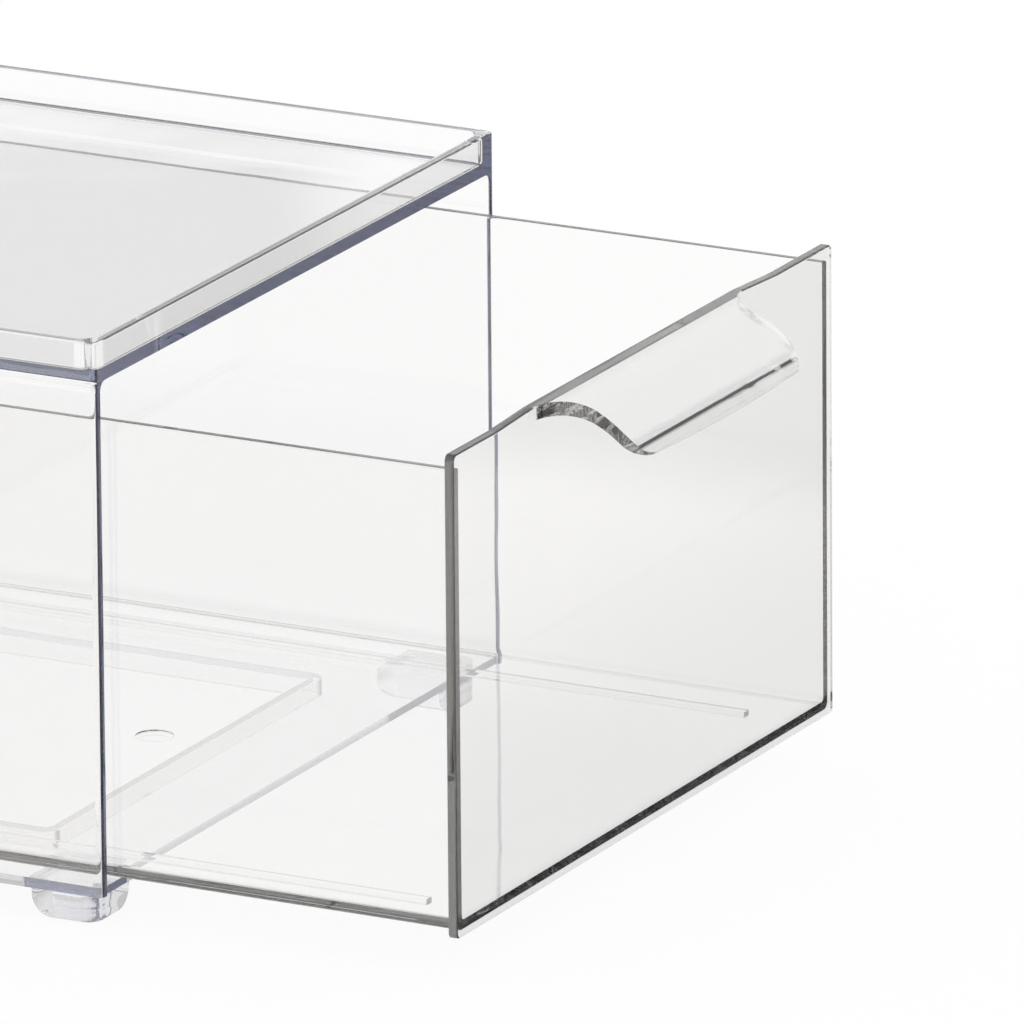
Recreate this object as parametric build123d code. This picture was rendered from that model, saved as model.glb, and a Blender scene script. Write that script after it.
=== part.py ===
from build123d import *
import os

# A clear stackable drawer box: an open-fronted casing with a sunk deck inside a raised rim,
# a base plate with a window in it, four corner feet, and a drawer that slides out of the front.
# The drawer is a three-walled tray closed by a front panel with a pull lip along its top edge.
# Millimetres. X runs across the front, the front faces -Y, Z is up.
# The origin is on the ground, under the middle of the casing.

# Casing
box_width = 152.4
box_depth = 203.2
box_height = 109.2          # ground to the top of the rim
wall = 1.8                  # side walls and back wall
deck_thickness = 1.8
rim_height = 5.8            # rim above the deck
rim_wall = 2.0
rim_corner_radius = 3.0     # inside the rim, seen from above
rim_root_radius = 0.8       # between the deck and the inside of the rim
rim_edge_radius = 0.5       # top edges of the rim
outer_corner_radius = 1.2   # upright outer corners
opening_corner_radius = 2.0  # under the deck, where it meets the side walls

# Base plate
base_thickness = 1.5
base_setback = 0.6          # front edge of the plate behind the casing's front
window_side_margin = 25.7   # casing's outer side to the window
window_end_margin = 24.0    # casing's outer front or back to the window
window_corner_radius = 1.5
flange_wall = 1.6           # stiffening flange round the window
flange_drop = 3.2           # below the plate

# Feet
foot_height = 6.3
foot_size = 12.8
foot_inset = 3.5            # from the casing's outer faces, so that the foot drops inside a rim
foot_corner_radius = 3.0    # upright outer corner
foot_heel_radius = 4.0      # rounded lower edges on the two inner sides

# Drawer
slide_gap = 0.3             # between the drawer and the casing, on every side that runs past
back_gap = 0.6              # tray to the casing's back wall when shut
top_gap = 4.4               # front panel to the deck above it
drawer_open = 70.1          # how far the drawer stands out in the modelled position
panel_thickness = 1.7
panel_corner_radius = 1.2
panel_edge_radius = 0.35    # edges of the front face
tray_side_step = 1.2        # panel's end past the tray's side wall
tray_top_step = 2.9         # panel's top past the tray's top edge
tray_bottom_step = 1.1      # panel's bottom edge past the tray's underside
tray_wall = 1.7
floor_thickness = 1.7
tray_outer_radius = 1.5     # outer bottom edges and upright back corners
tray_inner_radius = 0.8
tray_edge_radius = 0.4      # top edges
runner_spacing = 121.6      # between the middles of the two runners
runner_width = 2.0
runner_front_gap = 12.2     # front face of the panel to the front end of a runner
gate_diameter = 7.2         # shallow round mark left by the mould in the middle of the floor
gate_depth = 0.25

# Pull lip
lip_root_width = 81.5
lip_root_radius = 8.3       # sweep from the panel into the lip's sides
lip_reach = 17.6            # panel's front face to the lip's free edge at its corners
lip_bow = 0.8               # free edge bows out by this in the middle
lip_corner_radius = 5.0
lip_rise = 0.7              # lip's crest above the panel's top edge
lip_ramp = 14.0             # length over which the panel's top edge climbs to the crest
lip_root_thickness = 2.6
lip_drop = 9.2              # lip's hollow below the panel's top edge, where it would run level
lip_run = 20.1              # panel's front face to where the hollow would run level
lip_top_turn = 16.1         # panel's front face to where the crest turns into the hollow, on top
lip_under_turn = 12.9       # the same underneath
lip_offset = -2.9           # middle of the lip from the middle of the panel

# Places that follow from the sizes
half_width = box_width / 2
half_depth = box_depth / 2
shell_bottom = foot_height
base_top = shell_bottom + base_thickness
deck_top = box_height - rim_height
deck_underside = deck_top - deck_thickness
inner_half_width = half_width - wall
inner_back = half_depth - wall

panel_front = -half_depth - drawer_open
panel_back = panel_front + panel_thickness
panel_half_width = inner_half_width - slide_gap
panel_bottom = base_top + slide_gap
panel_top = deck_underside - top_gap
crest = panel_top + lip_rise
tray_back = inner_back - back_gap - drawer_open
tray_half_width = panel_half_width - tray_side_step
tray_underside = panel_bottom + tray_bottom_step
tray_top = panel_top - tray_top_step
floor_top = tray_underside + floor_thickness

BOTTOM = (Align.CENTER, Align.CENTER, Align.MIN)
cut_past = 1.0              # how far a cutting block runs past the face that it opens
touch = 0.001               # how near an edge's middle is to a plane to count as in it


def block(x_range, y_range, z_range):
    """A plain block between two corners."""
    size = [high - low for low, high in (x_range, y_range, z_range)]
    middle = [(low + high) / 2 for low, high in (x_range, y_range, z_range)]
    return Pos(*middle) * Box(*size)


def rounded_slab(width, depth, bottom, top, radius):
    """A slab with its four upright corners rounded, centred on the Z axis."""
    outline = RectangleRounded(width, depth, radius)
    return extrude(Pos(0, 0, bottom) * outline, top - bottom)


def edges_at(shape, axis, value):
    """The edges whose middles lie in one plane square to an axis."""
    return shape.edges().filter_by_position(axis, value - touch, value + touch)


def make_casing_shell():
    """Side walls, back wall, deck and rim, moulded in one piece."""
    shell = rounded_slab(box_width, box_depth, shell_bottom, box_height, outer_corner_radius)
    room = block(
        (-inner_half_width, inner_half_width),
        (-half_depth - cut_past, inner_back),
        (shell_bottom - cut_past, deck_underside),
    )
    room_corners = room.edges().filter_by(Axis.Y).group_by(Axis.Z)[-1]
    shell -= fillet(room_corners, opening_corner_radius)
    well = rounded_slab(
        box_width - 2 * rim_wall,
        box_depth - 2 * rim_wall,
        deck_top,
        box_height + cut_past,
        rim_corner_radius,
    )
    shell -= fillet(edges_at(well, Axis.Z, deck_top), rim_root_radius)
    return fillet(edges_at(shell, Axis.Z, box_height), rim_edge_radius)


def make_base_plate():
    """The casing's floor: a plate with a window and a flange that hangs down round it."""
    window_width = box_width - 2 * window_side_margin
    window_depth = box_depth - 2 * window_end_margin
    flange_bottom = shell_bottom - flange_drop
    plate = block(
        (-inner_half_width, inner_half_width),
        (-half_depth + base_setback, inner_back),
        (shell_bottom, base_top),
    )
    plate += rounded_slab(
        window_width + 2 * flange_wall,
        window_depth + 2 * flange_wall,
        flange_bottom,
        base_top,
        window_corner_radius + flange_wall,
    )
    plate -= rounded_slab(
        window_width,
        window_depth,
        flange_bottom - cut_past,
        base_top + cut_past,
        window_corner_radius,
    )
    return plate


def make_foot(side, end):
    """One corner foot. side is -1 for left, 1 for right, end is -1 for front, 1 for back."""
    outer_x = side * (half_width - foot_inset)
    outer_y = end * (half_depth - foot_inset)
    inner_x = outer_x - side * foot_size
    inner_y = outer_y - end * foot_size
    foot = block(
        sorted((inner_x, outer_x)),
        sorted((inner_y, outer_y)),
        (0, foot_height),
    )
    outer_corner = edges_at(edges_at(foot, Axis.X, outer_x), Axis.Y, outer_y)
    foot = fillet(outer_corner, foot_corner_radius)
    sole = edges_at(foot, Axis.Z, 0)
    heel = edges_at(sole, Axis.X, inner_x) + edges_at(sole, Axis.Y, inner_y)
    return fillet(heel, foot_heel_radius)


def make_tray():
    """Floor, side walls and back wall of the drawer, with its runners and mould mark."""
    tray = block(
        (-tray_half_width, tray_half_width),
        (panel_back, tray_back),
        (tray_underside, tray_top),
    )
    outer_edges = tray.edges().filter_by(Axis.Y).group_by(Axis.Z)[0]
    outer_edges += tray.edges().filter_by(Axis.Z).group_by(Axis.Y)[-1]
    outer_edges += tray.edges().filter_by(Axis.X).group_by(Axis.Y)[-1].group_by(Axis.Z)[0]
    tray = fillet(outer_edges, tray_outer_radius)
    room = block(
        (-tray_half_width + tray_wall, tray_half_width - tray_wall),
        (panel_back - cut_past, tray_back - tray_wall),
        (floor_top, tray_top + cut_past),
    )
    room_edges = room.edges().filter_by(Axis.Y).group_by(Axis.Z)[0]
    room_edges += room.edges().filter_by(Axis.Z).group_by(Axis.Y)[-1]
    room_edges += room.edges().filter_by(Axis.X).group_by(Axis.Y)[-1].group_by(Axis.Z)[0]
    tray -= fillet(room_edges, tray_inner_radius)
    tray = fillet(edges_at(tray, Axis.Z, tray_top), tray_edge_radius)
    for side in (-1, 1):
        middle = side * runner_spacing / 2
        tray += block(
            (middle - runner_width / 2, middle + runner_width / 2),
            (panel_front + runner_front_gap, tray_back - tray_outer_radius),
            (base_top + slide_gap, tray_underside),
        )
    gate_middle = (panel_front + tray_back) / 2
    tray -= Pos(0, gate_middle, floor_top - gate_depth) * Cylinder(gate_diameter / 2, cut_past, align=BOTTOM)
    return tray


def make_lip():
    """The pull lip: it leaves the panel level, turns down in an ogee and thins towards its free edge."""
    bar = extrude(Plane.YZ * lip_section(), lip_root_width, both=True)
    height = crest - panel_top + lip_drop + 2 * cut_past
    outline = Pos(lip_offset, panel_front, crest + cut_past - height) * lip_outline()
    return bar & extrude(outline, height)


def ogee(root, edge, turn_reach):
    """A crest and a hollow in tangent arcs, level where they start and end."""
    share = turn_reach / (root[0] - edge[0])
    turn = tuple(start + share * (end - start) for start, end in zip(root, edge))
    crest_arc = TangentArc(root, turn, tangent=(-1, 0))
    TangentArc(turn, edge, tangent=crest_arc % 1)


def lip_section():
    """The lip's section: two ogees that meet where the hollow would run level, past the free edge."""
    root_top = (panel_front, crest)
    root_bottom = (panel_front, crest - lip_root_thickness)
    edge = (panel_front - lip_run, panel_top - lip_drop)
    with BuildSketch() as section:
        with BuildLine():
            ogee(root_top, edge, lip_top_turn)
            ogee(root_bottom, edge, lip_under_turn)
            Polyline(root_bottom, (panel_back, root_bottom[1]), (panel_back, crest), root_top)
        make_face()
    return section.sketch


def lip_outline():
    """The lip seen from above, with Y = 0 on the panel's front face and -Y towards its free edge."""
    root = lip_root_width / 2
    side = root - lip_root_radius
    corner = side - lip_corner_radius
    with BuildSketch() as outline:
        with BuildLine():
            Line((-root, panel_thickness), (root, panel_thickness))
            for sign in (-1, 1):
                Line((sign * root, panel_thickness), (sign * root, 0))
                RadiusArc((sign * root, 0), (sign * side, -lip_root_radius), -sign * lip_root_radius)
                Line((sign * side, -lip_root_radius), (sign * side, -lip_reach + lip_corner_radius))
                RadiusArc(
                    (sign * side, -lip_reach + lip_corner_radius),
                    (sign * corner, -lip_reach),
                    sign * lip_corner_radius,
                )
            ThreePointArc((-corner, -lip_reach), (0, -lip_reach - lip_bow), (corner, -lip_reach))
        make_face()
    return outline.sketch


def panel_outline():
    """The panel seen from the front: its top edge climbs a little to the lip's crest."""
    lip_left = lip_offset - lip_root_width / 2
    lip_right = lip_offset + lip_root_width / 2
    with BuildSketch() as outline:
        with BuildLine():
            Polyline(
                (-panel_half_width, panel_bottom),
                (panel_half_width, panel_bottom),
                (panel_half_width, panel_top),
                (lip_right + lip_ramp, panel_top),
                (lip_right, crest),
                (lip_left, crest),
                (lip_left - lip_ramp, panel_top),
                (-panel_half_width, panel_top),
                close=True,
            )
        make_face()
    return outline.sketch


def make_drawer_front():
    """The flat front panel with the pull lip along its top edge, moulded in one piece."""
    panel = extrude(Pos(0, panel_back, 0) * (Plane.XZ * panel_outline()), panel_thickness)
    corners = edges_at(panel, Axis.X, -panel_half_width) + edges_at(panel, Axis.X, panel_half_width)
    panel = fillet(corners.filter_by(Axis.Y), panel_corner_radius)
    panel = fillet(edges_at(panel, Axis.Y, panel_front), panel_edge_radius)
    return panel + make_lip()


def make_pieces():
    """Every piece by name."""
    pieces = {
        "casing_shell": make_casing_shell(),
        "base_plate": make_base_plate(),
        "drawer_tray": make_tray(),
        "drawer_front": make_drawer_front(),
    }
    for end_name, end in (("front", -1), ("back", 1)):
        for side_name, side in (("left", -1), ("right", 1)):
            pieces[f"foot_{end_name}_{side_name}"] = make_foot(side, end)
    return pieces


os.makedirs("parts", exist_ok=True)
for name, piece in make_pieces().items():
    export_step(piece, f"parts/{name}.step")
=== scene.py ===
import math
import bpy
from mathutils import Matrix, Vector


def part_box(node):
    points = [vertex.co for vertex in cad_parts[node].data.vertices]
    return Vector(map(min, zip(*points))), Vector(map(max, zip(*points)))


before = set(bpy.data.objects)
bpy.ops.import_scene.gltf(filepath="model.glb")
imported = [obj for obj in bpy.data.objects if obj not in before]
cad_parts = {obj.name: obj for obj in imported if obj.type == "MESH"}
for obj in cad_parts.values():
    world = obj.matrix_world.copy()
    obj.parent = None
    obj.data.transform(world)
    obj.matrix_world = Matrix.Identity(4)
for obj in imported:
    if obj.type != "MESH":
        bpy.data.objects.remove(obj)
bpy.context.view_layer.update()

MM = 0.001                  # lengths below are in millimetres, and Blender's are in metres

# The casing shell: side walls, back wall, sunk deck and raised rim in one moulding.
# General purpose polystyrene, injection moulded in a polished mould, 1.8 mm thick.
# It is bare plastic: all that shows is its gloss, its refraction and its own faint tint.
casing_tint = "#b4b7c5"     # what 100 mm of the plastic leaves of white light: a cool slate grey
polystyrene_ior = 1.59
absorption = 100.0          # per metre, so that 10 mm of the plastic is one unit of it
ripple_length = 24 * MM     # from one shallow sink to the next on a moulded wall
ripple_height = 0.05 * MM


def linear(hex_colour):
    """An sRGB hex colour as linear red, green, blue and alpha."""
    parts = [int(hex_colour[i:i + 2], 16) / 255 for i in (1, 3, 5)]
    return [p / 12.92 if p <= 0.04045 else ((p + 0.055) / 1.055) ** 2.4 for p in parts] + [1.0]


def add(tree, kind, inputs=None, **settings):
    """Adds a node with its settings. An input takes a value or a link: another node's socket,
    or the node itself for its first output."""
    node = tree.nodes.new(kind)
    for name, value in settings.items():
        setattr(node, name, value)
    for name, value in (inputs or {}).items():
        if isinstance(value, bpy.types.Node):
            value = value.outputs[0]
        if isinstance(value, bpy.types.NodeSocket):
            tree.links.new(value, node.inputs[name])
        else:
            node.inputs[name].default_value = value
    return node


def clear_styrene(name, tint):
    """Clear polystyrene as moulded. Through a wall it is water clear, and along an edge, where the
    eye looks through a hand's width of it, it is grey. The shallow sinks of moulding bend the
    reflections, and the edges seen through a wall, a little."""
    material = bpy.data.materials.new(name)
    material.use_nodes = True
    tree = material.node_tree
    tree.nodes.clear()
    place = add(tree, "ShaderNodeTexCoord")
    sinks = add(tree, "ShaderNodeTexNoise", {
        "Vector": place.outputs["Object"], "Scale": 1 / ripple_length,
        "Detail": 1.0, "Roughness": 0.4,
    })
    ripple = add(tree, "ShaderNodeBump", {
        "Height": sinks, "Strength": 1.0, "Distance": ripple_height,
    })
    body = add(tree, "ShaderNodeBsdfPrincipled", {
        "Base Color": linear("#ffffff"), "Roughness": 0.0, "IOR": polystyrene_ior,
        "Transmission Weight": 1.0, "Normal": ripple,
    })
    # one unit leaves exp(colour - 1) of the light, and the tint is what 100 mm leave
    left = linear(tint)[:3]
    depth = add(tree, "ShaderNodeVolumeAbsorption", {
        "Color": [1 + math.log(c) / (absorption * 100 * MM) for c in left] + [1.0],
        "Density": absorption,
    })
    add(tree, "ShaderNodeOutputMaterial", {"Surface": body, "Volume": depth})
    return material


def dress(node, material):
    """Puts a material on a CAD node."""
    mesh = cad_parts[node].data
    mesh.materials.clear()
    mesh.materials.append(material)


casing_styrene = clear_styrene("clear_polystyrene_casing", casing_tint)
dress("casing_shell", casing_styrene)

# The base plate: the casing's bottom, with a large window and a low flange round it.
# The same polystyrene, moulded on its own and bonded to the walls along its two sides and its back.
# At the joint a film of air, drawn wider than the real one, keeps the two faces apart to the eye.
air_film = 0.02 * MM
on_the_joint = 0.005 * MM   # a corner of the mesh this near to the joint lies on it


def draw_back(node, axis, place, step):
    """Draws the face of a node that is bonded at one place on an axis back by an air film."""
    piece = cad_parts[node]
    index = "XYZ".index(axis)
    on_face = [v.index for v in piece.data.vertices if abs(v.co[index] - place) < on_the_joint]
    group = piece.vertex_groups.new(name=f"joint_{axis}_{place / MM:.1f}")
    group.add(on_face, 1.0, "REPLACE")
    film = piece.modifiers.new(f"air_film_{axis}_{place / MM:.1f}", "DISPLACE")
    film.direction = axis
    film.vertex_group = group.name
    film.mid_level = 0.0
    film.strength = step


dress("base_plate", casing_styrene)
plate_low, plate_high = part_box("base_plate")
draw_back("base_plate", "X", plate_low[0], air_film)
draw_back("base_plate", "X", plate_high[0], -air_film)
draw_back("base_plate", "Y", plate_high[1], -air_film)

# The four feet: solid corner blocks that drop inside the rim of the box below.
# The same polystyrene, bonded under the casing's corners, where the joint shows as a bright face.
for end in ("front", "back"):
    for side in ("left", "right"):
        foot = f"foot_{end}_{side}"
        dress(foot, casing_styrene)
        draw_back(foot, "Z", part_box(foot)[1][2], -air_film)

# The drawer tray: floor with two runners, side walls and back wall in one moulding.
# Polystyrene with a deeper and quite neutral tint: the floor's front end, seen end on through
# the front panel, is nearly black, where the casing's deck is slate grey. Most of that black is not
# the tint but the floor's painted shade in front of the panel, which only reflections see.
drawer_tint = "#a3a3a3"
drawer_styrene = clear_styrene("clear_polystyrene_drawer", drawer_tint)
dress("drawer_tray", drawer_styrene)
draw_back("drawer_tray", "Y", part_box("drawer_tray")[0][1], air_film)

# The drawer front: a flat panel with a flared pull lip, welded to the tray's front end.
# The same polystyrene as the tray, polished on both faces.
dress("drawer_front", drawer_styrene)

# The floor: a wide sheet of matt white paper under even light, with the box's soft shadow on it.
# Most of its white is its own glow, so that it stays white from every side. To gloss and edges
# it shows a painted reflection: darker tones, painted shade near the box and under it, that only
# mirrored rays see, as clear plastic is lit to make its edges read.
floor_reach = 3000 * MM
floor_drop = 0.2 * MM       # below the soles
own_white = 0.94            # share of the paper's white that a shadow doesn't reach
# the warm white of the painted reflection that mirrored rays see on the floor
painted_reflection_colour = "#fffcf7"
mirrored_depth = 0.5        # a ray with a glossy depth above this has been mirrored
# The tones of the painted reflection, painted shade on the floor round the box: the panel's painted
# shadow, in front of it from near to far, out on the right of that, and under the box, which is
# white again beyond its sides and its back.
shade, near_grey, far_grey, right_grey, under_grey = 0.05, 0.45, 0.9, 0.35, 0.6
panel_foot, shade_end, near_start = -172 * MM, -187.5 * MM, -189.5 * MM
near_end, far_start = -200 * MM, -305 * MM
right_start, right_end = 190 * MM, 250 * MM
side_grey, side_white = 70 * MM, 105 * MM
back_grey, back_white = 95 * MM, 125 * MM

paper = bpy.data.materials.new("matt_white_paper")
paper.use_nodes = True
tree = paper.node_tree
tree.nodes.clear()
spot = add(tree, "ShaderNodeNewGeometry")
across = add(tree, "ShaderNodeSeparateXYZ", {0: spot.outputs["Position"]})
x, y = across.outputs["X"], across.outputs["Y"]
tones = {}
for name, along, start, end, low, high in (
    ("front", y, near_end, far_start, near_grey, far_grey),
    ("shade", y, shade_end, near_start, shade / near_grey, 1.0),
    ("out_right", x, right_start, right_end, 1.0, right_grey / far_grey),
    ("left_side", x, -side_grey, -side_white, under_grey, 1.0),
    ("right_side", x, side_grey, side_white, under_grey, 1.0),
    ("behind", y, back_grey, back_white, under_grey, 1.0),
):
    tones[name] = add(tree, "ShaderNodeMapRange", {
        "Value": along, "From Min": start, "From Max": end, "To Min": low, "To Max": high,
    }, interpolation_type="SMOOTHSTEP")
front = tones["front"]
for name in ("shade", "out_right"):
    front = add(tree, "ShaderNodeMath", {0: front, 1: tones[name]}, operation="MULTIPLY")
under = tones["behind"]
for name in ("left_side", "right_side"):
    under = add(tree, "ShaderNodeMath", {0: under, 1: tones[name]}, operation="MAXIMUM")
in_front = add(tree, "ShaderNodeMath", {0: y, 1: panel_foot}, operation="LESS_THAN")
# the painted reflection's tone: painted shade in front of the panel, or painted shade under the box
painted_reflection_tone = add(tree, "ShaderNodeMix", {0: in_front, 2: under, 3: front}, data_type="FLOAT")

ray = add(tree, "ShaderNodeLightPath")
mirrored = add(tree, "ShaderNodeMath", {
    0: ray.outputs["Glossy Depth"], 1: mirrored_depth,
}, operation="GREATER_THAN")
lit = add(tree, "ShaderNodeBsdfDiffuse", {"Color": linear("#ffffff")})
white = add(tree, "ShaderNodeEmission", {"Color": linear("#ffffff"), "Strength": 1.0})
# the painted reflection: for mirrored rays the floor glows at the painted tone instead of being lit
painted_reflection_glow = add(tree, "ShaderNodeEmission", {
    "Color": linear(painted_reflection_colour), "Strength": painted_reflection_tone,
})
seen = ray.outputs["Is Camera Ray"]
for kind in ("Is Glossy Ray", "Is Transmission Ray"):
    seen = add(tree, "ShaderNodeMath", {0: seen, 1: ray.outputs[kind]}, operation="MAXIMUM")
share = add(tree, "ShaderNodeMath", {0: seen, 1: own_white}, operation="MULTIPLY")
sheet = add(tree, "ShaderNodeMixShader", {0: share, 1: lit, 2: white})
surface = add(tree, "ShaderNodeMixShader", {0: mirrored, 1: sheet, 2: painted_reflection_glow})
add(tree, "ShaderNodeOutputMaterial", {"Surface": surface})

floor_mesh = bpy.data.meshes.new("floor")
corners = [(u, v, 0) for u in (-floor_reach, floor_reach) for v in (-floor_reach, floor_reach)]
floor_mesh.from_pydata(corners, [], [(0, 2, 3, 1)])
floor_mesh.materials.append(paper)
floor = bpy.data.objects.new("floor", floor_mesh)
bpy.context.scene.collection.objects.link(floor)
floor.location.z = -floor_drop

# The grey card: it stands behind the box on the right, and only gloss shows it. It is no lit card:
# it glows at its own tone, a painted reflection, and is see-through to all but mirrored rays.
# It gives the deck its grey tone, and fades out towards the right and the bottom.
card_tone = 0.57
card_away = 600 * MM        # from the middle of the box
card_left, card_fade, card_right = -150 * MM, 74 * MM, 104 * MM
card_bottom, card_full, card_top = 245 * MM, 275 * MM, 420 * MM
card_facing = 27.6          # degrees from the X axis

card = bpy.data.materials.new("grey_card")
card.use_nodes = True
tree = card.node_tree
tree.nodes.clear()
place = add(tree, "ShaderNodeTexCoord")
across = add(tree, "ShaderNodeSeparateXYZ", {0: place.outputs["Object"]})
ray = add(tree, "ShaderNodeLightPath")
shown = add(tree, "ShaderNodeMath", {
    0: ray.outputs["Glossy Depth"], 1: mirrored_depth,
}, operation="GREATER_THAN")
for along, start, end, low, high in (
    (across.outputs["X"], card_fade, card_right, 1.0, 0.0),
    (across.outputs["Z"], card_bottom, card_full, 0.0, 1.0),
):
    edge = add(tree, "ShaderNodeMapRange", {
        "Value": along, "From Min": start, "From Max": end, "To Min": low, "To Max": high,
    }, interpolation_type="SMOOTHSTEP")
    shown = add(tree, "ShaderNodeMath", {0: shown, 1: edge}, operation="MULTIPLY")
# the card's painted reflection: it glows at card_tone for mirrored rays and is not lit
card_glow = add(tree, "ShaderNodeEmission", {"Color": linear("#ffffff"), "Strength": card_tone})
gone = add(tree, "ShaderNodeBsdfTransparent")
surface = add(tree, "ShaderNodeMixShader", {0: shown, 1: gone, 2: card_glow})
add(tree, "ShaderNodeOutputMaterial", {"Surface": surface})
card_mesh = bpy.data.meshes.new("grey_card")
corners = [(u, 0, z) for u in (card_left, card_right) for z in (card_bottom, card_top)]
card_mesh.from_pydata(corners, [], [(0, 2, 3, 1)])
card_mesh.materials.append(card)
grey_card = bpy.data.objects.new("grey_card", card_mesh)
bpy.context.scene.collection.objects.link(grey_card)
facing = math.radians(card_facing)
grey_card.rotation_euler.z = facing - math.radians(90)
grey_card.location = card_away * math.cos(facing), card_away * math.sin(facing), 0

# The light: one even white surround, like a light tent, at the level at which white paper is white.
world = bpy.data.worlds.new("light_tent")
bpy.context.scene.world = world
world.use_nodes = True
tree = world.node_tree
tree.nodes.clear()
light = add(tree, "ShaderNodeBackground", {"Color": linear("#ffffff"), "Strength": 1.0})
add(tree, "ShaderNodeOutputWorld", {"Surface": light})

# The camera: a long lens, a little above the box and to its left.
eye = Vector((-2.8999, -1.6598, 1.0645))
target = Vector((0.02472, -0.1316, 0.05447))
roll = math.radians(-0.444)
focal_length, frame_width = 19090.3, 1024   # both in pixels of the photo
camera_data = bpy.data.cameras.new("camera")
camera_data.sensor_width = 36.0
camera_data.lens = focal_length / frame_width * camera_data.sensor_width
camera_data.clip_start = 0.1
camera_data.clip_end = 100.0
camera = bpy.data.objects.new("camera", camera_data)
bpy.context.scene.collection.objects.link(camera)
camera.rotation_mode = "QUATERNION"
aim = (target - eye).to_track_quat("-Z", "Y")
turn = aim.to_matrix().to_4x4() @ Matrix.Rotation(roll, 4, "Z")
camera.matrix_world = Matrix.Translation(eye) @ turn
bpy.context.scene.camera = camera

# Light that runs along inside a 1.8 mm wall from its back edge to its front one is turned back by
# its faces some eighty times on the way: with fewer bounces the walls' edges come out black.
most_turns = 160
scene = bpy.context.scene
scene.view_settings.view_transform = "Standard"
scene.cycles.max_bounces = most_turns
scene.cycles.transmission_bounces = most_turns
scene.cycles.glossy_bounces = most_turns
scene.cycles.transparent_max_bounces = 16
